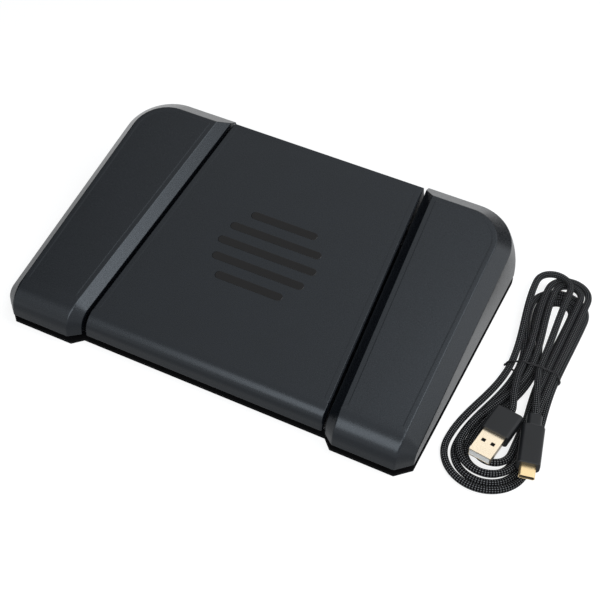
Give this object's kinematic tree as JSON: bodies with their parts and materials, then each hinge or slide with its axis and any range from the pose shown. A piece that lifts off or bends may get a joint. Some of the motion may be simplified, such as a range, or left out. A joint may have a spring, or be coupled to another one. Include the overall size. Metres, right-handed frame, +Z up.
{
  "type": "usb foot pedal switch",
  "caption": "Wedge-shaped USB foot switch with sprung hinged pedals over key switches, and a braided USB cable tied in a hank beside it.",
  "frame": {"origin": "on the floor, at the floor_rest mount, under the middle of the pedals' upper outline, the loose cable not counted", "axes": "+X across the pedals to the user's right, +Y away from the user towards the high far edge, +Z up"},
  "size_m": [0.2987, 0.1787, 0.0569],
  "materials": {
    "pedal_plastic": "fine-textured charcoal",
    "mark_gloss": "glossy black inlay",
    "pad_rubber": "matte black",
    "plate_steel": "plain rolled",
    "tray_plastic": "moulded black",
    "screw_steel": "blackened",
    "pin_steel": "ground",
    "spring_steel": "bright wire",
    "board_laminate": "green solder mask",
    "chip_epoxy": "moulded black",
    "board_metal": "satin",
    "socket_steel": "plated",
    "switch_plastic": "moulded",
    "stem_plastic": "moulded",
    "cable_braid": "black braid with grey flecks",
    "tie_plastic": "plastic-coated wire",
    "plug_plastic": "satin charcoal",
    "plug_gold": "pale gold plating",
    "insulator_plastic": "moulded white"
  },
  "bodies": {
    "base": {"rubber_pad": "pad_rubber", "base_plate": "plate_steel", "base_tray": "tray_plastic", "base_screws": "screw_steel", "hinge_pin_left": "pin_steel", "hinge_pin_centre": "pin_steel", "hinge_pin_right": "pin_steel", "springs_left": "spring_steel", "springs_centre": "spring_steel", "springs_right": "spring_steel", "stop_bumpers": "pad_rubber", "circuit_board": "board_laminate", "board_screws": "screw_steel", "controller_chip": "chip_epoxy", "board_parts": "board_metal", "usb_socket": "socket_steel", "usb_socket_tongue": "chip_epoxy", "switch_housing_left": "switch_plastic", "switch_housing_centre": "switch_plastic", "switch_housing_right": "switch_plastic", "usb_cable": "cable_braid", "cable_tie": "tie_plastic", "usb_a_body": "plug_plastic", "usb_a_shell": "plug_gold", "usb_a_insulator": "insulator_plastic", "usb_c_body": "plug_plastic", "usb_c_shell": "plug_gold", "usb_c_tongue": "chip_epoxy"},
    "left_pedal": {"pedal_left": "pedal_plastic"},
    "centre_pedal": {"pedal_centre": "pedal_plastic", "tread_mark": "mark_gloss"},
    "right_pedal": {"pedal_right": "pedal_plastic"},
    "left_stem": {"switch_stem_left": "stem_plastic"},
    "centre_stem": {"switch_stem_centre": "stem_plastic"},
    "right_stem": {"switch_stem_right": "stem_plastic"}
  },
  "joints": [
    {"name": "left_press", "type": "hinge", "parent": "base", "child": "left_pedal", "pos_m": [-0.09375, -0.066, 0.011], "axis": [-1, 0, 0], "range_deg": [0, 1.4], "stiffness_Nm_per_rad": 8, "springref_deg": -5.73, "deforming": ["springs_left"]},
    {"name": "centre_press", "type": "hinge", "parent": "base", "child": "centre_pedal", "pos_m": [0, -0.066, 0.011], "axis": [-1, 0, 0], "range_deg": [0, 1.4], "stiffness_Nm_per_rad": 8, "springref_deg": -5.73, "deforming": ["springs_centre"]},
    {"name": "right_press", "type": "hinge", "parent": "base", "child": "right_pedal", "pos_m": [0.09375, -0.066, 0.011], "axis": [-1, 0, 0], "range_deg": [0, 1.4], "stiffness_Nm_per_rad": 8, "springref_deg": -5.73, "deforming": ["springs_right"]},
    {"name": "left_stem_travel", "type": "slide", "parent": "base", "child": "left_stem", "axis": [0, 0, -1], "range_m": [0, 0.0028]},
    {"name": "centre_stem_travel", "type": "slide", "parent": "base", "child": "centre_stem", "axis": [0, 0, -1], "range_m": [0, 0.0028]},
    {"name": "right_stem_travel", "type": "slide", "parent": "base", "child": "right_stem", "axis": [0, 0, -1], "range_m": [0, 0.0028]}
  ],
  "couplings": [
    {"joint": "left_stem_travel", "follows": "left_press", "m_per_rad": 0.1136},
    {"joint": "centre_stem_travel", "follows": "centre_press", "m_per_rad": 0.1136},
    {"joint": "right_stem_travel", "follows": "right_press", "m_per_rad": 0.1136}
  ]
}
